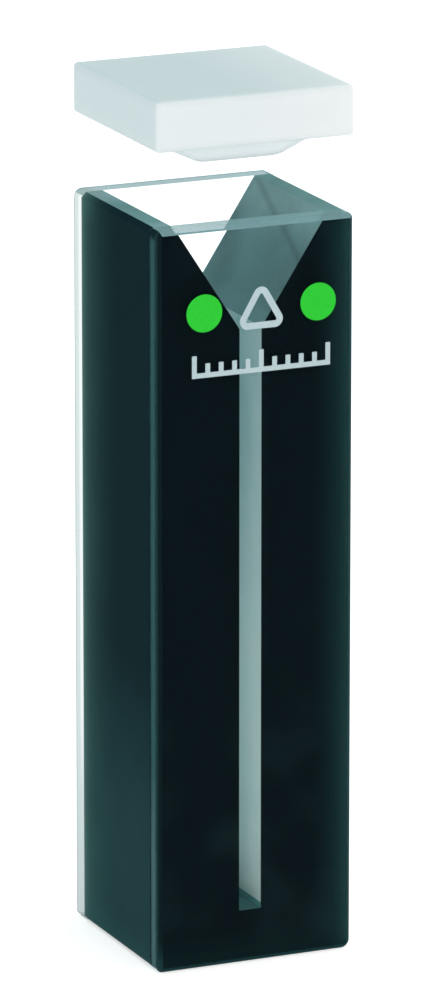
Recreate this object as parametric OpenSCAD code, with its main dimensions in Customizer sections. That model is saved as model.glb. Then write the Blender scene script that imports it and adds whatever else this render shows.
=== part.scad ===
// Micro absorption cell with light-tight walls and a lid lifted clear of its mouth.
// Two clear glass windows are fused to a black glass core, which leaves a narrow
// channel open between them, under a funnel that reaches the rim.
// Millimetres. +Z is up, the front window faces -Y, and the origin is the centre of the foot.

/* [Cell] */
// Outer width of the square cell, side to side and front to rear
cell_w = 12.5; // [11:0.5:20]
// Height of the cell from its foot to its rim
cell_h = 45; // [30:1:60]
// Width of the 45 degree flat ground along every outer edge, measured along each face
edge_cut = 0.3; // [0.1:0.05:0.5]

/* [Windows] */
// Thickness of each clear window
window_t = 1.25; // [1:0.05:2]

/* [Channel] */
// Width of the channel between the black blocks
channel_w = 1.4; // [1:0.1:4]
// Height of the channel's floor above the foot
floor_h = 3; // [1.5:0.5:15]

/* [Mouth] */
// Width of the black rim that is left flat beside the funnel
rim_land = 1.35; // [0.8:0.05:2]
// Slope of the funnel's walls, in degrees from upright
mouth_angle = 33; // [25:1:45]

/* [Lid] */
// Thickness of the lid's square top
lid_t = 3; // [2:0.25:5]
// Radius on the outer edges of the lid's top
lid_round = 0.25; // [0.1:0.05:0.8]
// Depth of the plug under the lid's top
plug_h = 1.35; // [0.9:0.05:2]
// Depth over which the plug's sides follow the funnel's walls
plug_wall_h = 0.45; // [0.2:0.05:0.6]
// Width of the plug's flat underside
plug_foot_w = 5; // [3:0.25:5.5]
// Radius on the plug's lower edges
plug_round = 0.6; // [0.2:0.1:1]
// Clearance between the plug and the funnel's walls at the rim
plug_side_gap = 0.2; // [0.1:0.05:0.6]
// Clearance between the plug's ends and the windows
plug_end_gap = 1; // [0.2:0.1:2]
// Height of the lid's underside above the rim, where the lid is held clear
lid_lift = 4.6; // [3:0.2:15]

/* [Hidden] */
$fn = 48;

clear_glass = [0.80, 0.90, 0.90, 0.35];
black_glass = [0.05, 0.11, 0.12];
white_resin = [0.86, 0.90, 0.91];

// The light path is what the windows leave of the cell's depth.
path_l = cell_w - 2 * window_t;
mouth_w = cell_w - 2 * rim_land;
funnel_h = (mouth_w - channel_w) / 2 / tan(mouth_angle);
funnel_z = cell_h - funnel_h;

// The plug follows the mouth that it drops into.
plug_top_w = mouth_w - 2 * plug_side_gap;
plug_l = path_l - 2 * plug_end_gap;
lid_z = cell_h + lid_lift;

// Lays a profile, drawn in X and Z, along Y and centres it.
module along_y(length) {
    translate([0, length / 2, 0]) rotate([90, 0, 0]) linear_extrude(length) children();
}

// Rectangle with its corners cut off at 45 degrees, its lower edge on the axis.
module cut_rectangle(w, h, cut) {
    polygon([
        [-w / 2 + cut, 0], [w / 2 - cut, 0],
        [w / 2, cut], [w / 2, h - cut],
        [w / 2 - cut, h], [-w / 2 + cut, h],
        [-w / 2, h - cut], [-w / 2, cut],
    ]);
}

// Rectangle with round corners, its lower edge on the axis.
module round_rectangle(w, h, r) {
    translate([-w / 2 + r, 0]) square([w - 2 * r, h]);
    translate([-w / 2, r]) square([w, h - 2 * r]);
    for (x = [-w / 2 + r, w / 2 - r], y = [r, h - r]) translate([x, y]) circle(r);
}

// Square block whose outline, seen along each of its three axes, is the matching child:
// the front view, which serves for the side view too, and the plan.
module square_block(w, h) {
    intersection() {
        along_y(w) children(0);
        rotate([0, 0, 90]) along_y(w) children(0);
        translate([0, -w / 2, 0]) linear_extrude(h) children(1);
    }
}

// The whole cell's outer form, which every fused piece is ground to.
module cell_form() {
    square_block(cell_w, cell_h) {
        cut_rectangle(cell_w, cell_h, edge_cut);
        cut_rectangle(cell_w, cell_w, edge_cut);
    }
}

module window(side) {
    color(clear_glass) intersection() {
        cell_form();
        translate([-cell_w / 2, side * (path_l + window_t) / 2 - window_t / 2, 0])
            cube([cell_w, window_t, cell_h]);
    }
}

// Black block on one side of the channel, leaning back above it as the funnel's wall.
module core_block(side) {
    color(black_glass) intersection() {
        cell_form();
        along_y(path_l) polygon([
            [side * channel_w / 2, 0],
            [side * cell_w / 2, 0],
            [side * cell_w / 2, cell_h],
            [side * mouth_w / 2, cell_h],
            [side * channel_w / 2, funnel_z],
        ]);
    }
}

module front_window() {
    window(-1);
}

module rear_window() {
    window(1);
}

module left_block() {
    core_block(-1);
}

module right_block() {
    core_block(1);
}

module base_block() {
    color(black_glass)
        translate([-channel_w / 2, -path_l / 2, 0]) cube([channel_w, path_l, floor_h]);
}

// Profile of the plug, hanging from the axis. Its sides keep a steady distance from the
// funnel's walls at first, and then slope in to the underside. The two lower edges are
// rounded: a round starts the same distance, back, before and after the corner that it
// takes off, where it touches the underside and the sloping side.
module plug_profile() {
    wall_x = plug_top_w / 2 - plug_wall_h * tan(mouth_angle);
    slope = atan2(plug_h - plug_wall_h, wall_x - plug_foot_w / 2);
    back = plug_round * tan(slope / 2);
    centre_x = plug_foot_w / 2 - back;
    side_x = plug_foot_w / 2 + back * cos(slope);
    side_z = back * sin(slope) - plug_h;
    polygon([
        [-plug_top_w / 2, 0], [-wall_x, -plug_wall_h],
        [-side_x, side_z], [-centre_x, -plug_h],
        [centre_x, -plug_h], [side_x, side_z],
        [wall_x, -plug_wall_h], [plug_top_w / 2, 0],
    ]);
    for (side = [-1, 1])
        translate([side * centre_x, plug_round - plug_h]) circle(plug_round);
}

module lid() {
    color(white_resin) translate([0, 0, lid_z]) {
        square_block(cell_w, lid_t) {
            round_rectangle(cell_w, lid_t, lid_round);
            round_rectangle(cell_w, cell_w, lid_round);
        }
        along_y(plug_l) plug_profile();
    }
}

front_window();
rear_window();
left_block();
right_block();
base_block();
lid();
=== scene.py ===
"""A black-walled micro cell for absorption work, with its lid held clear of the mouth.

Lengths are in metres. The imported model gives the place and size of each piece.
"""

import math

import bmesh
import bpy
import numpy as np
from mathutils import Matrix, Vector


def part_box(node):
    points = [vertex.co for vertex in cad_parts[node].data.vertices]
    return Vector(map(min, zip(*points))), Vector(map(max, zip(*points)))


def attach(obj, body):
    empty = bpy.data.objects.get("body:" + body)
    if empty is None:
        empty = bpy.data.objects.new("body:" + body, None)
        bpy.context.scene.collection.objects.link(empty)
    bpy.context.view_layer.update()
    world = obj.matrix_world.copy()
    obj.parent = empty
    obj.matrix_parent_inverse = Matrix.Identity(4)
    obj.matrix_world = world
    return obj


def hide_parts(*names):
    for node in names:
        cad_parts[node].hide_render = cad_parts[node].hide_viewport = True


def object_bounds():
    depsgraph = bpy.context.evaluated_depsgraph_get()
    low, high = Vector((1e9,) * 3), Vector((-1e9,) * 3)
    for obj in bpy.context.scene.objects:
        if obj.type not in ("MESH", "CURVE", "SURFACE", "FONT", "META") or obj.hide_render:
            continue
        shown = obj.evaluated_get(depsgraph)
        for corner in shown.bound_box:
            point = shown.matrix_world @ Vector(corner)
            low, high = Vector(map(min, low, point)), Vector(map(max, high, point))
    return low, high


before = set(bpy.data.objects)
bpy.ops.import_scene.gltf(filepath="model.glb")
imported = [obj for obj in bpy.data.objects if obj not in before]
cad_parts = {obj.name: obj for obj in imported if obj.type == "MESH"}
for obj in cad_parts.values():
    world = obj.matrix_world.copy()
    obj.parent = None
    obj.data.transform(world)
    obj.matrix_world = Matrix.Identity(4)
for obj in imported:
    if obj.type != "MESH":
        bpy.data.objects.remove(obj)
cad_low, cad_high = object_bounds()
MM = 0.001


# ---------------------------------------------------------------- camera
# A long lens looks down a little on the front window and the left side.
# It aims just above the middle of the cell and its lifted lid.

AZIMUTH = math.radians(-23.74)
ELEVATION = math.radians(15.14)
CAMERA_DISTANCE = 473.6 * MM
LENS = 288.2
AIM_OFFSET = np.array([-0.12, 0.0, 0.52]) * MM

aim = (np.array(cad_low) + np.array(cad_high)) / 2 + AIM_OFFSET
backwards = np.array([
    math.sin(AZIMUTH) * math.cos(ELEVATION),
    -math.cos(AZIMUTH) * math.cos(ELEVATION),
    math.sin(ELEVATION),
])
camera = bpy.data.objects.new("camera", bpy.data.cameras.new("camera"))
camera.data.lens = LENS
camera.data.clip_start = 10 * MM
camera.data.clip_end = 20.0
camera.location = aim + CAMERA_DISTANCE * backwards
camera.rotation_euler = (math.pi / 2 - ELEVATION, 0, AZIMUTH)
bpy.context.scene.collection.objects.link(camera)
bpy.context.scene.camera = camera


# ---------------------------------------------------------------- black core
# The core is black glass: two blocks and a strip at the foot, fused between the windows.
# Its outer sides are polished, and its channel, funnel and rim are fine ground, so they
# are greyer. The faces under the windows are optically part of the clear glass.
# Painted light, shade and reflections also lie in the core's colours.

core_low, core_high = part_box("left_block")
front_joint, rear_joint, rim = core_low[1], core_high[1], core_high[2]
channel_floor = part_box("base_block")[1][2]

# Painted reflections make the polished sides lighter low down, at the foot, along the rear joint and
# high up at the rear.
POLISHED_HIGH = (0.0042, 0.0160, 0.0189, 1)
POLISHED_LOW_REFLECTION = (0.0118, 0.0386, 0.0420, 1)
POLISHED_FADE = (20 * MM, 6 * MM)
NEAR_JOINT_REFLECTION = (0.0270, 0.0750, 0.0690, 1)
NEAR_JOINT_BEND = 3.0
AT_JOINT_REFLECTION = (0.1250, 0.2200, 0.2120, 1)
AT_JOINT_BEND = 22.0
JOINT_FADE = (-7.0 * MM, 0.2 * MM)
TOP_REAR_REFLECTION = (0.0300, 0.0800, 0.0760, 1)
TOP_REAR_FADE = (-2.5 * MM, 0.0)
TOP_REAR_DROP = (-2.0 * MM, -0.1 * MM)
AT_FOOT_REFLECTION = (0.0250, 0.0730, 0.0760, 1)
AT_FOOT_BEND = 1.5
POLISHED_CLOUD = 0.15
SIDE_SKIN = 0.4 * MM

# Under the windows the core is nearly black, with a painted glow at its right edge and its foot.
# The black also holds the window's square-on reflection, painted in.
FUSED_BLACK = (0.0034, 0.0090, 0.0122, 1)
FUSED_GLOW = (0.0118, 0.0470, 0.0500, 1)
FUSED_EDGE_GLOW = (0.0240, 0.0780, 0.0800, 1)
# Painted light makes it lighter in clouds low down.
FUSED_LOW_LIGHT = (0.0070, 0.0188, 0.0222, 1)
FUSED_LOW_LIGHT_FADE = (24 * MM, 8 * MM)
FUSED_LOW_LIGHT_CLOUD = (0.48, 0.72)
GLOW_REACH = 2.4 * MM
GLOW_BEND = 1.8
EDGE_BEND = 8.0
FOOT_SHARE = 0.6

# The rim's left half is lighter towards both its ends, with painted light.
LAND_GREY = (0.130, 0.260, 0.256, 1)
LAND_ENDS_LIGHT = (0.215, 0.340, 0.345, 1)
LAND_REAR_FADE = (-4.2 * MM, -0.6 * MM)
LAND_FRONT_FADE = (1.6 * MM, 0.0)
LAND_FRONT_SHARE = 0.6

# Down the funnel the grey darkens, then lightens again, with painted light and shade. A thin painted
# shadow of the rear rim crosses each slope.
SLOPE_LIT_HIGH = (0.205, 0.346, 0.350, 1)
SLOPE_LOW = (0.144, 0.270, 0.277, 1)
SLOPE_FADE = (-0.7 * MM, -2.8 * MM)
SLOPE_LIT_FOOT = (0.205, 0.375, 0.382, 1)
SLOPE_FOOT_FADE = (-3.0 * MM, -6.2 * MM)
SLOPE_FOOT_BEND = 1.8
# The painted shadow of the rear rim: where it lies, how wide and how dark.
SHADOW_LINE_DROP = 1.34 * MM
SHADOW_LINE_RISE = 0.2874
SHADOW_LINE_HALF = 0.35 * MM
SHADOW_LINE_DARKNESS = 0.22

# The channel's walls are painted pale, paler lower down, as painted light for what they gather through
# the windows. They are a little satin, with a dark band along their foot.
CHANNEL_LIT_HIGH = (0.72, 0.89, 0.90, 1)
CHANNEL_LIT_LOW = (0.86, 0.99, 0.99, 1)
CHANNEL_FADE = (-8 * MM, -30 * MM)
WALL_FOOT = (0.160, 0.420, 0.420, 1)
WALL_FOOT_FADE = (0.38 * MM, 0.33 * MM)
FLOOR_GREY = (0.065, 0.185, 0.185, 1)
CHANNEL_SATIN = 0.42
CHANNEL_REACH = 1.0 * MM

FACING = 0.9
EDGE_ON = 0.1
SHINE = 0.001
POLISHED_ROUGHNESS = 0.2
GROUND_ROUGHNESS = 0.6
GRIND_SCALE = 9000
GRIND_SHARE = 0.15
GRIND_STRENGTH = 0.25
GRIND_DEPTH = 0.004 * MM
CLOUD_SCALE = 260
CLOUD_SHARE = 0.35


def new_material(name):
    """An empty node material: its tree, and the shader that its other nodes feed."""
    material = bpy.data.materials.new(name)
    material.use_nodes = True
    tree = material.node_tree
    return material, tree, tree.nodes["Principled BSDF"]


def add_node(tree, kind, inputs, **settings):
    """A node whose inputs are each a value or another node's output."""
    made = tree.nodes.new("ShaderNode" + kind)
    for name, value in settings.items():
        setattr(made, name, value)
    for key, value in inputs.items():
        if isinstance(value, bpy.types.NodeSocket):
            tree.links.new(value, made.inputs[key])
        else:
            made.inputs[key].default_value = value
    return made


def math_node(tree, operation, *values):
    """The output of a math node, whose values are numbers or sockets."""
    return add_node(tree, "Math", dict(enumerate(values)), operation=operation).outputs[0]


def blend_colours(tree, share, first, second, how="MIX"):
    """The output of a colour mix: share 0 gives the first colour and 1 the second."""
    mix = add_node(tree, "Mix", {0: share, 6: first, 7: second}, data_type="RGBA", blend_type=how)
    return mix.outputs[2]


def surface_axes(tree):
    """Where a point lies on the piece, and that place and the face's way as X, Y and Z."""
    where = add_node(tree, "TexCoord", {})
    place = add_node(tree, "SeparateXYZ", {0: where.outputs["Object"]})
    facing = add_node(tree, "SeparateXYZ", {0: where.outputs["Normal"]})
    return where.outputs["Object"], place.outputs, facing.outputs


def noise(tree, place, scale, detail=3.0):
    """The grey value of a noise pattern, whose scale is in cycles per metre."""
    pattern = add_node(tree, "TexNoise", {"Vector": place, "Scale": scale, "Detail": detail})
    return pattern.outputs["Fac"]


def set_input(tree, shader, name, value):
    """Gives a shader input a value or another node's output."""
    if isinstance(value, bpy.types.NodeSocket):
        tree.links.new(value, shader.inputs[name])
    else:
        shader.inputs[name].default_value = value


def ramp(tree, value, start, end, steps="SMOOTHSTEP"):
    """A value that goes from 0 at start to 1 at end, and stays there on either side."""
    made = add_node(tree, "MapRange", {0: value, 1: start, 2: end}, interpolation_type=steps)
    return made.outputs[0]


def fade(tree, value, base, span, steps="SMOOTHSTEP"):
    """A ramp between two places that are given by their distances from a base."""
    return ramp(tree, value, base + span[0], base + span[1], steps)


def rim_colour(tree, at):
    """The ground rim, whose left half goes over to a lighter grey of painted light at its ends."""
    rear_end = fade(tree, at[1], rear_joint, LAND_REAR_FADE)
    front_end = fade(tree, at[1], front_joint, LAND_FRONT_FADE)
    front_end = math_node(tree, "MULTIPLY", front_end, LAND_FRONT_SHARE)
    ends = math_node(tree, "MAXIMUM", rear_end, front_end)
    ends = math_node(tree, "MULTIPLY", ends, math_node(tree, "LESS_THAN", at[0], 0.0))
    return blend_colours(tree, ends, LAND_GREY, LAND_ENDS_LIGHT)


def funnel_colour(tree, at):
    """The funnel's slopes, from the rim down to the channel, with painted light high and low."""
    upper = fade(tree, at[2], rim, SLOPE_FADE)
    lower = fade(tree, at[2], rim, SLOPE_FOOT_FADE, "LINEAR")
    lower = math_node(tree, "POWER", lower, SLOPE_FOOT_BEND)
    funnel = blend_colours(tree, upper, SLOPE_LIT_HIGH, SLOPE_LOW)
    return blend_colours(tree, lower, funnel, SLOPE_LIT_FOOT)


def wall_colour(tree, at):
    """The channel's walls, painted pale as light, with the band along their foot."""
    wall = blend_colours(tree, fade(tree, at[2], rim, CHANNEL_FADE), CHANNEL_LIT_HIGH, CHANNEL_LIT_LOW)
    return blend_colours(tree, fade(tree, at[2], channel_floor, WALL_FOOT_FADE), wall, WALL_FOOT)


def painted_shadow_share(tree, at, slope):
    """How dark the rear rim's painted shadow is: most on a line that rises as it goes back, and none
    beside it.
    """
    shadow_line = math_node(tree, "MULTIPLY_ADD", at[1], -SHADOW_LINE_RISE, at[2])
    shadow_line = math_node(tree, "ABSOLUTE", math_node(tree, "SUBTRACT", shadow_line, rim - SHADOW_LINE_DROP))
    shadow_line = math_node(tree, "MULTIPLY", slope, ramp(tree, shadow_line, SHADOW_LINE_HALF, 0.0))
    return math_node(tree, "MULTIPLY", shadow_line, SHADOW_LINE_DARKNESS)


def polished_colour(tree, at, foot, cloud):
    """The outer sides, from the plain colour to the painted reflections along the joint and the foot."""
    joint = fade(tree, at[1], rear_joint, JOINT_FADE, "LINEAR")
    near_joint_reflection = math_node(tree, "POWER", joint, NEAR_JOINT_BEND)
    at_joint_reflection = math_node(tree, "POWER", joint, AT_JOINT_BEND)
    top_rear_reflection = math_node(tree, "MULTIPLY", fade(tree, at[1], rear_joint, TOP_REAR_FADE),
                         fade(tree, at[2], rim, TOP_REAR_DROP))
    at_foot_reflection = math_node(tree, "POWER", foot, AT_FOOT_BEND)
    polished = blend_colours(tree, ramp(tree, at[2], *POLISHED_FADE), POLISHED_HIGH, POLISHED_LOW_REFLECTION)
    for share, colour in ((near_joint_reflection, NEAR_JOINT_REFLECTION), (top_rear_reflection, TOP_REAR_REFLECTION),
                          (at_joint_reflection, AT_JOINT_REFLECTION), (at_foot_reflection, AT_FOOT_REFLECTION)):
        polished = blend_colours(tree, share, polished, colour)
    return blend_colours(tree, POLISHED_CLOUD, polished, cloud, "OVERLAY")


def fused_colour(tree, at, foot, cloud):
    """The faces under the windows: black, painted light low down, and a painted glow at the edges."""
    right = ramp(tree, at[0], cad_high[0] - GLOW_REACH, cad_high[0], "LINEAR")
    near_edge = math_node(tree, "MAXIMUM", right, foot)
    glow = math_node(tree, "POWER", near_edge, GLOW_BEND)
    edge = math_node(tree, "POWER", near_edge, EDGE_BEND)
    low_light = math_node(tree, "MULTIPLY", ramp(tree, at[2], *FUSED_LOW_LIGHT_FADE),
                       ramp(tree, cloud, *FUSED_LOW_LIGHT_CLOUD))
    black = FUSED_BLACK
    for share, colour in ((low_light, FUSED_LOW_LIGHT), (glow, FUSED_GLOW), (edge, FUSED_EDGE_GLOW)):
        black = blend_colours(tree, share, black, colour)
    return black


def black_glass():
    """Polished outside, fine ground inside, and black where it is fused to a window, with painted light,
    shade and reflections in its colours.
    """
    material, tree, shader = new_material("black_glass")
    place, at, facing = surface_axes(tree)
    grain = noise(tree, place, GRIND_SCALE)
    cloud = noise(tree, place, CLOUD_SCALE, 4.0)

    across = math_node(tree, "ABSOLUTE", at[0])
    fused = math_node(tree, "GREATER_THAN", math_node(tree, "ABSOLUTE", facing[1]), FACING)
    outside = math_node(tree, "GREATER_THAN", across, cad_high[0] - SIDE_SKIN)
    inmost = math_node(tree, "LESS_THAN", across, CHANNEL_REACH)
    level = math_node(tree, "GREATER_THAN", facing[2], FACING)
    upright = math_node(tree, "LESS_THAN", facing[2], EDGE_ON)
    side = math_node(tree, "MULTIPLY", outside, math_node(tree, "SUBTRACT", 1.0, level))
    wall = math_node(tree, "MULTIPLY", inmost, upright)
    wall = math_node(tree, "MULTIPLY", wall, math_node(tree, "SUBTRACT", 1.0, fused))
    bottom = math_node(tree, "MULTIPLY", inmost, level)
    slope = math_node(tree, "SUBTRACT", 1.0, math_node(tree, "MAXIMUM", level, upright))

    ground = blend_colours(tree, slope, rim_colour(tree, at), funnel_colour(tree, at))
    ground = blend_colours(tree, wall, ground, wall_colour(tree, at))
    ground = blend_colours(tree, bottom, ground, FLOOR_GREY)
    # The rear rim's painted shadow across the slopes.
    ground = blend_colours(tree, painted_shadow_share(tree, at, slope), ground, (0, 0, 0, 1))
    ground = blend_colours(tree, GRIND_SHARE, ground, grain, "OVERLAY")
    ground = blend_colours(tree, CLOUD_SHARE, ground, cloud, "OVERLAY")

    foot = ramp(tree, at[2], GLOW_REACH, 0.0, "LINEAR")
    foot = math_node(tree, "MULTIPLY", foot, FOOT_SHARE)
    outer = blend_colours(tree, fused, polished_colour(tree, at, foot, cloud),
                          fused_colour(tree, at, foot, cloud))
    outermost = math_node(tree, "MAXIMUM", side, fused)
    set_input(tree, shader, "Base Color", blend_colours(tree, outermost, ground, outer))

    rough = add_node(tree, "MapRange", {0: side, 3: GROUND_ROUGHNESS, 4: POLISHED_ROUGHNESS})
    set_input(tree, shader, "Roughness", rough.outputs[0])
    shader.inputs["Specular IOR Level"].default_value = SHINE
    set_input(tree, shader, "Metallic", math_node(tree, "MULTIPLY", wall, CHANNEL_SATIN))
    strength = math_node(tree, "SUBTRACT", 1.0, side)
    strength = math_node(tree, "MULTIPLY", strength, GRIND_STRENGTH)
    bump = add_node(tree, "Bump", {"Strength": strength, "Distance": GRIND_DEPTH, "Height": grain})
    set_input(tree, shader, "Normal", bump.outputs[0])
    return material


core_material = black_glass()
for name in ("left_block", "right_block", "base_block"):
    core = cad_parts[name]
    core.data.materials.clear()
    core.data.materials.append(core_material)


# ---------------------------------------------------------------- windows
# Each window is one plate of clear glass, fused to the core by its inner face. Its large
# faces and the flats along its edges are polished, and its rim is fine ground. The plate
# is let into the core by a hair, so that no air shows at the joint.

LET_IN = 0.01 * MM
INK_SEAT = 0.02 * MM
FRONT_EDGE = 0.3 * MM
REAR_EDGE = 0.1 * MM
EDGE_POWER = 1.1
EDGE_STEPS = 7
CORNER = 0.36 * MM
WIDE_CORNER = 0.5 * MM
CORNER_STEPS = 9
SHEER_BAND = 0.505 * MM
LEFT_FROM = 0.05
FRONT_RIM_FROM = 0.95
REAR_RIM_FROM = 0.6
RIGHT_RIM_FROM = 0.3

CLEAR_TINT = (0.97, 1.0, 1.0, 1)
GLASS_IOR = 1.46
REFLECTION_TINT = (0, 0, 0, 1)
SLEEK_SCALE = 700
SLEEK_GREYS = (0.55, 0.9)
SLEEK_ROUGHNESS = 0.012
PANE_ROUGHNESS = 0.5
COVER_SPREAD = 0.05

# Each ground or dark face: its colour, and how much of what lies behind it is covered.
# The colours after it are those it goes over to, and the spans say where.
INSIDE = ((0.40, 0.50, 0.51, 1), 0.06)
# The front window's left side: a film of painted reflection, lighter low down with painted light, and
# darker at its top, its joint and its front edge with painted shade.
FRONT_SIDE = ((0.082, 0.232, 0.238, 1), 0.32)
SIDE_FOOT_LIGHT = (0.160, 0.330, 0.345, 1)
SIDE_FOOT_FADE = (14 * MM, 7 * MM)
SIDE_TOP_SHADE = (0.012, 0.040, 0.044, 1)
SIDE_TOP_FADE = (-0.8 * MM, -0.3 * MM)
SIDE_EDGE_SHADE = (0.006, 0.024, 0.028, 1)
SIDE_JOINT_FADE = (-0.42 * MM, 0.0)
SIDE_FRONT_FADE = (0.6 * MM, 0.18 * MM)
FRONT_FLAT = ((0.0036, 0.0100, 0.0120, 1), 0.93)
# Painted light on the front flats: lighter towards the right, the foot and the back.
FLAT_RIGHT_GLOW = (0.0130, 0.0390, 0.0410, 1)
FLAT_MARGIN = 1.5 * MM
FLAT_FOOT_GLOW = (0.0080, 0.0330, 0.0350, 1)
FLAT_FOOT_FADE = (2 * MM, 0.2 * MM)
FLAT_BACK_LIGHT = (0.0120, 0.0370, 0.0390, 1)
FLAT_BACK_FADE = (0.15 * MM, 0.32 * MM)
FRONT_RIM = ((0.212, 0.375, 0.380, 1), 0.77)
FRONT_RIM_FLAT = ((0.151, 0.282, 0.300, 1), 0.755)
# The rear window's left side: a grey film of painted shade over the white seen through it, darker
# towards its back edge and its foot.
REAR_SIDE = ((0.50, 0.53, 0.52, 1), 0.50)
REAR_SIDE_BACK_SHADE = (0.130, 0.240, 0.215, 1)
REAR_SIDE_BACK_FADE = (0.35 * MM, 0.6 * MM)
REAR_SIDE_FOOT_SHADE = (0.120, 0.220, 0.220, 1)
REAR_SIDE_FOOT_FADE = (14 * MM, 6 * MM)
REAR_FLAT = ((0.38, 0.43, 0.44, 1), 0.34)
REAR_RIM = ((0.140, 0.317, 0.334, 1), 0.75)
# Painted shade darkens the rear rim towards its left end.
REAR_RIM_LEFT_SHADE = (0.060, 0.180, 0.180, 1)
REAR_RIM_LEFT_FADE = (1.65 * MM, 0.35 * MM)
REAR_RIM_FLAT = ((0.50, 0.62, 0.63, 1), 0.30)


def new_piece(name, points, faces, materials, slot, kinds=0, smooth=False):
    """A closed mesh with its seams merged and its faces outwards, riding on the cell.
    Kinds says which of the materials each face has."""
    mesh = bpy.data.meshes.new(name)
    mesh.from_pydata(points.tolist(), [], [list(map(int, face)) for face in faces])
    for material in materials:
        mesh.materials.append(material)
    mesh.polygons.foreach_set("material_index", np.zeros(len(faces), int) + kinds)
    mesh.polygons.foreach_set("use_smooth", np.full(len(faces), smooth))
    work = bmesh.new()
    work.from_mesh(mesh)
    bmesh.ops.remove_doubles(work, verts=work.verts, dist=1e-8)
    bmesh.ops.recalc_face_normals(work, faces=work.faces)
    work.to_mesh(mesh)
    work.free()
    piece = bpy.data.objects.new(name, mesh)
    bpy.context.scene.collection.objects.link(piece)
    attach(piece, "root")
    return piece


def plate(low, high, outer_y, inner_y, edge, corners, rim_from):
    """A plate between two corners in X and Z, as a grid of points. One way runs round its
    outline, a rectangle with a quarter circle at each corner, whose radii are given from
    the right top corner round to the right bottom one. The other runs from the outer face
    to the inner one. It starts as a quarter of a superellipse, whose inset and depth, each
    raised to the edge power, add up to the flat's width raised to that power, and goes on
    square to the inner face. Each face also gets its kind: 0 for clear faces, 1 for the
    left side, 2 for the rim, 3 for the flat before the rim, 4 for the other flats, and 5
    for the sheer band along the top of the inner face. Round a left corner, a face counts
    as rim when its outward way leans up by more than rim_from."""
    turn = np.linspace(0, math.pi / 2, CORNER_STEPS)
    turns = turn + np.arange(4)[:, None] * math.pi / 2
    arcs = np.stack([np.cos(turns), np.sin(turns)], 2)
    ways = np.array([(1, 1), (0, 1), (0, 0), (1, 0)])[:, None]
    offs = np.array(corners)[:, None, None]
    centres = np.where(ways > 0, high - offs, low + offs) + 0 * arcs
    offs = offs + 0 * arcs[..., :1]
    band = high[1] - SHEER_BAND
    split = 2 * CORNER_STEPS
    ends = [split, 2 * split]
    reach = np.insert(arcs.reshape(-1, 2), ends, [(-1, 0), (1, 0)], axis=0)
    centre = np.insert(centres.reshape(-1, 2), ends, [(low[0], band), (high[0], band)], axis=0)
    round_off = np.insert(offs.ravel(), ends, 0)

    step = np.linspace(0, math.pi / 2, EDGE_STEPS)
    inset = np.append(edge * (1 - np.sin(step) ** (2 / EDGE_POWER)), 0)
    depth = np.append(edge * (1 - np.cos(step) ** (2 / EDGE_POWER)), abs(inner_y - outer_y))
    radius = (round_off - inset[:, None])[:, :, None]
    ring = centre + radius * reach
    rows, columns = ring.shape[:2]
    y = outer_y + np.sign(inner_y - outer_y) * depth
    points = np.stack([ring[..., 0], np.repeat(y[:, None], columns, 1), ring[..., 1]], 2)

    row, column = np.meshgrid(np.arange(rows - 1), np.arange(columns), indexing="ij")
    ahead = (column + 1) % columns
    quads = np.stack([row * columns + column, row * columns + ahead,
                      (row + 1) * columns + ahead, (row + 1) * columns + column], 2)
    out = reach[column] + reach[ahead]
    out = out / np.linalg.norm(out, axis=2, keepdims=True)
    wall = row == rows - 2
    leftward = out[..., 0] < -LEFT_FROM
    upward = out[..., 1] > np.where(leftward, rim_from, RIGHT_RIM_FROM)
    kinds = np.where(wall, np.where(upward, 2, np.where(leftward, 1, 0)), np.where(upward, 3, 4))
    inner = (rows - 1) * columns + np.arange(columns)
    caps = [np.arange(columns).tolist(), inner[split:].tolist(), np.roll(inner, 1)[:split + 2].tolist()]
    faces = quads.reshape(-1, 4).tolist() + caps
    return points.reshape(-1, 3), faces, np.append(kinds.ravel(), [0, 0, 5])


def polished_glass():
    """Clear, with hairline sleeks from the polish. It mirrors the room only at a slant:
    what it would mirror seen square on is part of the black behind it."""
    material, tree, shader = new_material("polished_glass")
    place, _, _ = surface_axes(tree)
    shader.inputs["Base Color"].default_value = CLEAR_TINT
    shader.inputs["Transmission Weight"].default_value = 1.0
    shader.inputs["IOR"].default_value = GLASS_IOR
    shader.inputs["Specular Tint"].default_value = REFLECTION_TINT
    sleeks = noise(tree, place, SLEEK_SCALE, 6.0)
    low, high = SLEEK_GREYS
    rough = add_node(tree, "MapRange", {0: sleeks, 1: low, 2: high, 3: 0.0, 4: SLEEK_ROUGHNESS})
    set_input(tree, shader, "Roughness", rough.outputs[0])
    return material


def ground_glass(name, finish, *spans):
    """A ground face, and also each polished face whose reflection, light and shade are painted: a
    grained film that covers part of what is behind it. Its finish is a colour and the share covered.
    Along each span, given by an axis, a base, two distances from it and a colour, it goes over to that
    colour."""
    tint, cover = finish
    material, tree, shader = new_material(name)
    place, at, _ = surface_axes(tree)
    grain = noise(tree, place, GRIND_SCALE)
    for axis, base, span, far_tint in spans:
        tint = blend_colours(tree, fade(tree, at[axis], base, span), tint, far_tint)
    set_input(tree, shader, "Base Color", blend_colours(tree, GRIND_SHARE, tint, grain, "OVERLAY"))
    share = add_node(tree, "MapRange", {0: grain, 3: cover - COVER_SPREAD, 4: cover + COVER_SPREAD})
    set_input(tree, shader, "Alpha", share.outputs[0])
    shader.inputs["Roughness"].default_value = PANE_ROUGHNESS
    shader.inputs["Specular IOR Level"].default_value = SHINE
    return material


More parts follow.
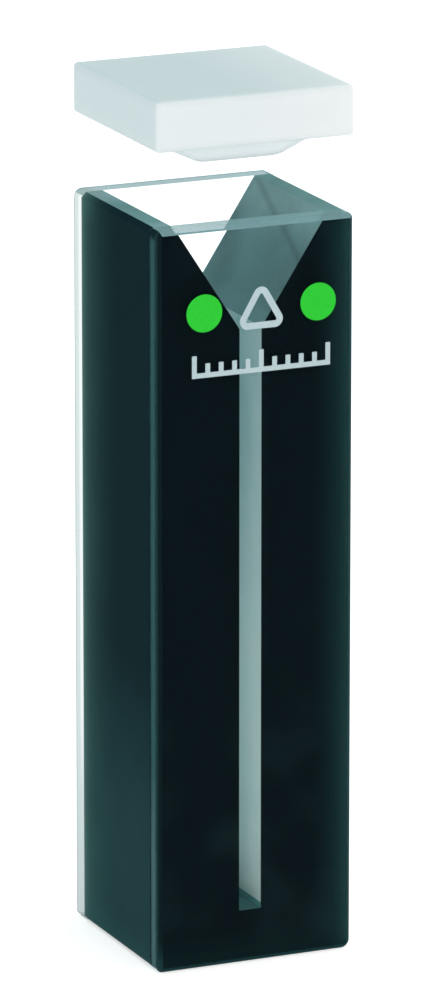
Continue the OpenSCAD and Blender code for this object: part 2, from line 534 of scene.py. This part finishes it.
def add_window(name, outward, inset, edge, corners, rim_from, side, rim, rim_flat, flat):
    """Lays one plate over its solid. Outward is the way its outer face looks along Y."""
    low, high = (np.array(corner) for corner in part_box(name))
    outer_y, inner_y = (high[1], low[1]) if outward > 0 else (low[1], high[1])
    outer_y -= outward * inset
    inner_y -= outward * LET_IN
    points, faces, kinds = plate(low[[0, 2]], high[[0, 2]], outer_y, inner_y, edge, corners, rim_from)
    finishes = [clear, side, rim, rim_flat, flat, inside]
    window = new_piece(name + "_glass", points, faces, finishes, "clear_glass", kinds)
    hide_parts(name)


clear, inside = polished_glass(), ground_glass("inside_glass", INSIDE)
front_low, front_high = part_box("front_window")
front_flat_across = (FLAT_MARGIN, front_high[0] - front_low[0] - FLAT_MARGIN)
add_window(
    "front_window", -1, INK_SEAT, FRONT_EDGE, (CORNER, CORNER, CORNER, WIDE_CORNER), FRONT_RIM_FROM,
    side=ground_glass("front_side_glass", FRONT_SIDE,
                      (2, front_low[2], SIDE_FOOT_FADE, SIDE_FOOT_LIGHT),
                      (2, front_high[2], SIDE_TOP_FADE, SIDE_TOP_SHADE),
                      (1, front_high[1], SIDE_JOINT_FADE, SIDE_EDGE_SHADE),
                      (1, front_low[1], SIDE_FRONT_FADE, SIDE_EDGE_SHADE)),
    rim=ground_glass("front_rim_glass", FRONT_RIM),
    rim_flat=ground_glass("front_rim_flat_glass", FRONT_RIM_FLAT),
    flat=ground_glass("front_flat_glass", FRONT_FLAT,
                      (0, front_low[0], front_flat_across, FLAT_RIGHT_GLOW),
                      (2, front_low[2], FLAT_FOOT_FADE, FLAT_FOOT_GLOW),
                      (1, front_low[1], FLAT_BACK_FADE, FLAT_BACK_LIGHT)),
)
rear_low, rear_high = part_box("rear_window")
add_window(
    "rear_window", 1, 0.0, REAR_EDGE, (CORNER, WIDE_CORNER, CORNER, CORNER), REAR_RIM_FROM,
    side=ground_glass("rear_side_glass", REAR_SIDE,
                      (1, rear_low[1], REAR_SIDE_BACK_FADE, REAR_SIDE_BACK_SHADE),
                      (2, rear_low[2], REAR_SIDE_FOOT_FADE, REAR_SIDE_FOOT_SHADE)),
    rim=ground_glass("rear_rim_glass", REAR_RIM,
                     (0, rear_low[0], REAR_RIM_LEFT_FADE, REAR_RIM_LEFT_SHADE)),
    rim_flat=ground_glass("rear_rim_flat_glass", REAR_RIM_FLAT),
    flat=ground_glass("rear_flat_glass", REAR_FLAT),
)


# ---------------------------------------------------------------- lid
# The lid is one piece of white fluoropolymer with soft edges. Its square top covers the
# rim, and the plug under it drops into the funnel. It is a little see-through, so light
# bleeds round its edges.
# Painted light makes its top darker at the left and lighter at the right, its front lighter at the
# right, and its plug lighter.

LID_ROUND = 0.24 * MM
EDGE_STATIONS = 6
ACROSS_STATIONS = 90
ALONG_STATIONS = 180
PLUG_DEPTH = 1.35 * MM
PLUG_FOOT_HALF = 2.5 * MM
PLUG_TOP_HALF = 4.7 * MM
PLUG_WALL = 0.45 * MM
WALL_LEAN = math.tan(math.radians(33))
PLUG_END_HALF = 4.0 * MM
PLUG_END_RUN = 0.25 * MM
PLUG_SOFTNESS = 0.22 * MM
LID_WHITE = (0.500, 0.565, 0.578, 1)
LID_CLOUD = (0.480, 0.545, 0.558, 1)
# Painted light and shade, as factors on the white of the top, the front and the plug.
TOP_LEFT_SHADE = (0.915, 0.97, 0.97, 1)
TOP_RIGHT_LIGHT = (1.08, 1.08, 1.07, 1)
FRONT_RIGHT_LIGHT = (1.065, 1.04, 1.03, 1)
PLUG_LIGHT = (1.25, 1.25, 1.26, 1)
TOP_FADE = (-1 * MM, 6 * MM)
FRONT_FADE = (-2 * MM, 6 * MM)
UPWARD = (0.5, 0.95)
FORWARD = (-0.5, -0.95)
PLUG_FADE = (0.1 * MM, -0.3 * MM)
LID_CLOUD_SCALE = 240
LID_ROUGHNESS = 0.5
SCATTER_SHARE = 0.35
SCATTER_DEPTH = 2.0 * MM
PLANING_SCALE = 3500
PLANING_DEPTH = 0.02 * MM
PLANING_STRENGTH = 0.25
SOFT_EDGE = 0.9 * MM


def stations(low, high, zone, fine, coarse):
    """Places along one side: close together in the zone at each end, and wide between."""
    first = np.linspace(low, low + zone, fine + 1)
    middle = np.linspace(low + zone, high - zone, coarse + 1)[1:-1]
    last = np.linspace(high - zone, high, fine + 1)
    return np.concatenate([first, middle, last])


def box_skin(xs, ys, zs):
    """The six faces of a box as grids through the given places, as points and quads."""
    axes, points, quads = (xs, ys, zs), [], []
    for axis in range(3):
        first, second = [a for a in range(3) if a != axis]
        for end in (axes[axis][0], axes[axis][-1]):
            u, v = np.meshgrid(axes[first], axes[second], indexing="ij")
            grid = np.zeros((u.size, 3))
            grid[:, axis] = end
            grid[:, first] = u.ravel()
            grid[:, second] = v.ravel()
            rows, columns = u.shape
            corner = (np.arange(rows - 1)[:, None] * columns + np.arange(columns - 1)).ravel()
            corner = corner + sum(len(p) for p in points)
            quads.append(np.stack([corner, corner + columns, corner + columns + 1, corner + 1], 1))
            points.append(grid)
    return np.concatenate(points), np.concatenate(quads)


def rounded(points, low, high, radius):
    """Rounds the edges of a box: each point moves to its own distance, radius, from the
    nearest point of the box shrunk by radius."""
    inner = np.clip(points, low + radius, high - radius)
    rest = points - inner
    length = np.linalg.norm(rest, axis=1, keepdims=True)
    return inner + rest * np.minimum(1, radius / np.maximum(length, 1e-12))


def soft_least(first, second, softness):
    """The lesser of two values, with the crease between them rounded by softness."""
    gap = np.clip(0.5 + 0.5 * (second - first) / softness, 0, 1)
    return second + (first - second) * gap - softness * gap * (1 - gap)


def plug_drop(x, y):
    """How far the plug hangs below the lid's top at x, y. It is the least of four: the
    full depth, a gentle slope sideways, a steeper one beside the funnel's wall, and a
    steep one at each end. It is never under zero, and every crease is rounded."""
    wall_half = PLUG_TOP_HALF - PLUG_WALL * WALL_LEAN
    slope = (PLUG_DEPTH - PLUG_WALL) / (wall_half - PLUG_FOOT_HALF)
    sideways = PLUG_WALL + (wall_half - np.abs(x)) * slope
    beside = (PLUG_TOP_HALF - np.abs(x)) / WALL_LEAN
    endways = (PLUG_END_HALF - np.abs(y)) * PLUG_DEPTH / PLUG_END_RUN
    drop = soft_least(sideways, np.full_like(x, PLUG_DEPTH), PLUG_SOFTNESS)
    drop = soft_least(drop, beside, PLUG_SOFTNESS)
    drop = soft_least(drop, endways, PLUG_SOFTNESS)
    return -soft_least(-drop, np.zeros_like(x), PLUG_SOFTNESS / 2)


def white_resin():
    """Waxy white with a faint cloud and the fine marks of a planed surface. Painted light makes the top
    darker at the left and lighter at the right, the front lighter at the right, and the plug lighter.
    """
    material, tree, shader = new_material("white_resin")
    place, at, facing = surface_axes(tree)
    cloud = noise(tree, place, LID_CLOUD_SCALE, 4.0)
    white = blend_colours(tree, cloud, LID_WHITE, LID_CLOUD)
    top_painted_light = blend_colours(tree, ramp(tree, at[0], *TOP_FADE), TOP_LEFT_SHADE, TOP_RIGHT_LIGHT)
    upward = ramp(tree, facing[2], *UPWARD)
    white = blend_colours(tree, upward, white, blend_colours(tree, 1.0, white, top_painted_light, "MULTIPLY"))
    front_painted_light = blend_colours(tree, ramp(tree, at[0], *FRONT_FADE), (1, 1, 1, 1), FRONT_RIGHT_LIGHT)
    forward = ramp(tree, facing[1], *FORWARD)
    white = blend_colours(tree, forward, white, blend_colours(tree, 1.0, white, front_painted_light, "MULTIPLY"))
    below = fade(tree, at[2], flange_low[2], PLUG_FADE)
    plug_lit_white = blend_colours(tree, 1.0, white, PLUG_LIGHT, "MULTIPLY")
    set_input(tree, shader, "Base Color", blend_colours(tree, below, white, plug_lit_white))
    shader.inputs["Roughness"].default_value = LID_ROUGHNESS
    shader.inputs["Subsurface Weight"].default_value = SCATTER_SHARE
    shader.inputs["Subsurface Radius"].default_value = (1.0, 1.0, 1.0)
    shader.inputs["Subsurface Scale"].default_value = SCATTER_DEPTH
    planing = noise(tree, place, PLANING_SCALE, 5.0)
    soft = add_node(tree, "Bevel", {"Radius": SOFT_EDGE}, samples=16)
    bump = add_node(tree, "Bump", {"Strength": PLANING_STRENGTH, "Distance": PLANING_DEPTH,
                                   "Height": planing, "Normal": soft.outputs[0]})
    set_input(tree, shader, "Normal", bump.outputs[0])
    return material


lid_low, lid_high = (np.array(corner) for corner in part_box("lid"))
flange_low = lid_low + np.array([0, 0, PLUG_DEPTH])
points, quads = box_skin(
    stations(flange_low[0], lid_high[0], LID_ROUND, EDGE_STATIONS, ACROSS_STATIONS),
    stations(flange_low[1], lid_high[1], LID_ROUND, EDGE_STATIONS, ALONG_STATIONS),
    stations(flange_low[2], lid_high[2], LID_ROUND, EDGE_STATIONS, EDGE_STATIONS),
)
under = (points[:, 2] < flange_low[2] + 1e-9).astype(float)
drop = plug_drop(points[:, 0], points[:, 1]) * under
points = rounded(points, flange_low, lid_high, LID_ROUND)
points[:, 2] -= drop
lid = new_piece("lid_body", points, quads, [white_resin()], "white_resin", smooth=True)
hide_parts("lid")


# ---------------------------------------------------------------- print
# Two colours of enamel are printed on the front window and fired on. Two green dots and
# an upright triangle say which way round the cell stands. The scale below them is plain.

INK_BITE = 0.004 * MM
PRINT_CENTRE_X = 0.33 * MM
DOT_DROP = 5.1 * MM
DOT_RADIUS = 1.13 * MM
DOT_SPREAD = 3.62 * MM
DOT_SIDES = 64
TRIANGLE_DROP = 5.35 * MM
TRIANGLE_REACH = 1.0 * MM
TRIANGLE_OUTER = 0.5 * MM
TRIANGLE_INNER = 0.1 * MM
SCALE_DROP = 8.95 * MM
SCALE_HALF = 4.25 * MM
SCALE_STROKE = 0.3 * MM
SCALE_TICKS = 11
LONG_TICK = 1.35 * MM
SHORT_TICK = 0.85 * MM
LONG_TICK_EVERY = 5
PALE_INK = (0.300, 0.400, 0.418, 1)
GREEN_INK = (0.0055, 0.385, 0.0130, 1)
STIPPLE_SCALE = 5200
STIPPLE_SHARE = 0.12
STIPPLE_DEPTH = 0.004 * MM
STIPPLE_STRENGTH = 0.2
INK_ROUGHNESS = 0.45
INK_SHINE = 0.2


def round_corners(corners, radius, steps=12):
    """The outline at a distance, radius, round a polygon given anticlockwise: an arc at
    each corner, from the way out of one side to the way out of the next."""
    corners = np.asarray(corners, float)
    along = np.roll(corners, -1, 0) - corners
    angle = np.arctan2(-along[:, 0], along[:, 1])
    before = np.roll(angle, 1)
    swing = (angle - before) % (2 * math.pi)
    turn = before[:, None] + swing[:, None] * np.linspace(0, 1, steps)
    arc = np.stack([np.cos(turn), np.sin(turn)], 2) * radius
    return (corners[:, None] + arc).reshape(-1, 2)


def ink_points(outline, front):
    """An outline in X and Z laid on the glass, at the ink's front or back."""
    depth = 0 if front else INK_SEAT + INK_BITE
    spot = [PRINT_CENTRE_X, 0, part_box("front_window")[1][2]]
    laid = np.insert(outline, 1, cad_low[1] + depth, axis=1)
    return laid + spot


def ink_field(outline):
    """A solid field of ink: the outline in front and behind, and a wall between."""
    count = len(outline)
    here = np.arange(count)
    ahead = (here + 1) % count
    walls = np.stack([here, ahead, ahead + count, here + count], 1).tolist()
    points = np.concatenate([ink_points(outline, True), ink_points(outline, False)])
    return points, walls + [here.tolist(), (here + count).tolist()]


def ink_ring(outer, inner):
    """A ring of ink between two outlines that have as many points as each other."""
    count = len(outer)
    loops = [ink_points(outer, True), ink_points(inner, True),
             ink_points(inner, False), ink_points(outer, False)]
    here = np.arange(count)
    ahead = (here + 1) % count
    walls = [np.stack([here + a * count, ahead + a * count, ahead + b * count, here + b * count], 1)
             for a, b in ((0, 1), (1, 2), (2, 3), (3, 0))]
    return np.concatenate(loops), np.concatenate(walls).tolist()


def enamel(name, colour):
    """Fired ink: nearly even, with the fine stipple of a screen and a satin face."""
    material, tree, shader = new_material(name)
    place, _, _ = surface_axes(tree)
    stipple = noise(tree, place, STIPPLE_SCALE, 2.0)
    set_input(tree, shader, "Base Color", blend_colours(tree, STIPPLE_SHARE, colour, stipple, "OVERLAY"))
    shader.inputs["Roughness"].default_value = INK_ROUGHNESS
    shader.inputs["Specular IOR Level"].default_value = INK_SHINE
    bump = add_node(tree, "Bump", {"Strength": STIPPLE_STRENGTH, "Distance": STIPPLE_DEPTH,
                                   "Height": stipple})
    set_input(tree, shader, "Normal", bump.outputs[0])
    return material


pale_enamel = enamel("pale_enamel", PALE_INK)
green_enamel = enamel("green_enamel", GREEN_INK)
for name, side in (("left_dot", -1), ("right_dot", 1)):
    centre = np.array([[side * DOT_SPREAD, -DOT_DROP]])
    turn = np.linspace(0, 2 * math.pi, DOT_SIDES, endpoint=False)
    outline = centre + DOT_RADIUS * np.stack([np.cos(turn), np.sin(turn)], 1)
    new_piece(name, *ink_field(outline), [green_enamel], "green_print")

point_up = math.pi / 2 + np.arange(3) * 2 * math.pi / 3
corners = np.stack([np.cos(point_up), np.sin(point_up)], 1) * TRIANGLE_REACH
corners = corners - [0, TRIANGLE_DROP]
rings = [round_corners(corners, radius) for radius in (TRIANGLE_OUTER, TRIANGLE_INNER)]
new_piece("triangle", *ink_ring(*rings), [pale_enamel], "pale_print")

tick = np.linspace(SCALE_HALF, -SCALE_HALF, SCALE_TICKS)
height = np.where(np.arange(SCALE_TICKS) % LONG_TICK_EVERY, SHORT_TICK, LONG_TICK)
over, base = SCALE_STROKE / 2, np.full(SCALE_TICKS, SCALE_STROKE)
teeth = np.stack([np.stack([tick + over, base], 1), np.stack([tick + over, height], 1),
                  np.stack([tick - over, height], 1), np.stack([tick - over, base], 1)], 1)
comb = np.concatenate([[(-SCALE_HALF - over, 0), (SCALE_HALF + over, 0)], teeth.reshape(-1, 2)])
new_piece("scale", *ink_field(comb - [0, SCALE_DROP]), [pale_enamel], "pale_print")


# ---------------------------------------------------------------- floor and light
# The cell stands on a plain white sheet under an even, slightly cool sky. A wide soft
# light before it, a little to the left, and a weaker one on its right, are both warmer.

FLOOR_HALF = 1.2
FLOOR_DROP = 0.02 * MM
SKY_COLOUR = (0.89, 0.985, 1.0, 1)
SKY_STRENGTH = 1.02
LAMP_COLOUR = (1.0, 0.70, 0.66)
LAMP_SIZE = 0.5
LAMPS = (("key", (-0.08, -0.64, 0.2), 2.7), ("fill", (0.62, 0.1, 0.15), 1.8))
SHEET_GLOW = 0.5
SHEET_WHITE = (0.68, 0.705, 0.705, 1)
SHEET_ROUGHNESS = 0.9

floor_mesh = bpy.data.meshes.new("floor")
floor_corners = [(-1, -1), (1, -1), (1, 1), (-1, 1)]
floor_mesh.from_pydata([(x * FLOOR_HALF, y * FLOOR_HALF, -FLOOR_DROP) for x, y in floor_corners],
                       [], [(0, 1, 2, 3)])
floor = bpy.data.objects.new("floor", floor_mesh)
bpy.context.scene.collection.objects.link(floor)
sheet, sheet_tree, sheet_shader = new_material("white_sheet")
sheet_shader.inputs["Base Color"].default_value = SHEET_WHITE
sheet_shader.inputs["Roughness"].default_value = SHEET_ROUGHNESS
sheet_shader.inputs["Specular IOR Level"].default_value = 0.0
sheet_shader.inputs["Emission Color"].default_value = (1, 1, 1, 1)
sheet_shader.inputs["Emission Strength"].default_value = SHEET_GLOW
floor_mesh.materials.append(sheet)

world = bpy.data.worlds.new("sky")
world.use_nodes = True
world.node_tree.nodes["Background"].inputs["Color"].default_value = SKY_COLOUR
world.node_tree.nodes["Background"].inputs["Strength"].default_value = SKY_STRENGTH
bpy.context.scene.world = world

for name, spot, power in LAMPS:
    lamp = bpy.data.objects.new(name, bpy.data.lights.new(name, "AREA"))
    lamp.data.shape = "SQUARE"
    lamp.data.size = LAMP_SIZE
    lamp.data.energy = power
    lamp.data.color = LAMP_COLOUR
    lamp.location = spot
    lamp.rotation_euler = lamp.location.to_track_quat("Z", "Y").to_euler()
    bpy.context.scene.collection.objects.link(lamp)
bpy.context.scene.view_settings.view_transform = "Standard"
